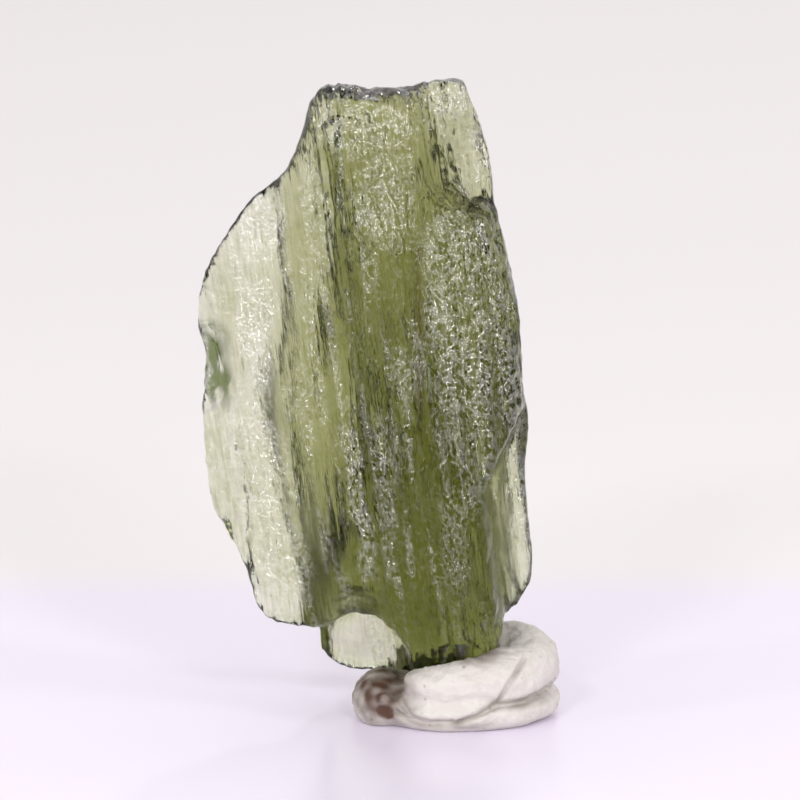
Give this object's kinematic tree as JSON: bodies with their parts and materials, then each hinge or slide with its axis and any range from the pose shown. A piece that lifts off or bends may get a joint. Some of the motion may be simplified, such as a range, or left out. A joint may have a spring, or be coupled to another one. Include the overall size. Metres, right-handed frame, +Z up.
{
  "type": "moldavite specimen on putty",
  "caption": "Furrowed translucent green natural-glass splinter standing upright in a small rolled lump of pale mounting putty.",
  "frame": {"origin": "on the surface that the putty rests on, under the middle of the whole object's box", "axes": "+Z up, -Y towards the furrowed face with the thick core, +X towards the thin flange and the putty"},
  "size_m": [0.0145, 0.0074, 0.0258],
  "materials": {
    "moldavite_glass": "satin",
    "putty": "matte"
  },
  "bodies": {
    "root": {"moldavite": "moldavite_glass", "putty": "putty"}
  },
  "joints": []
}
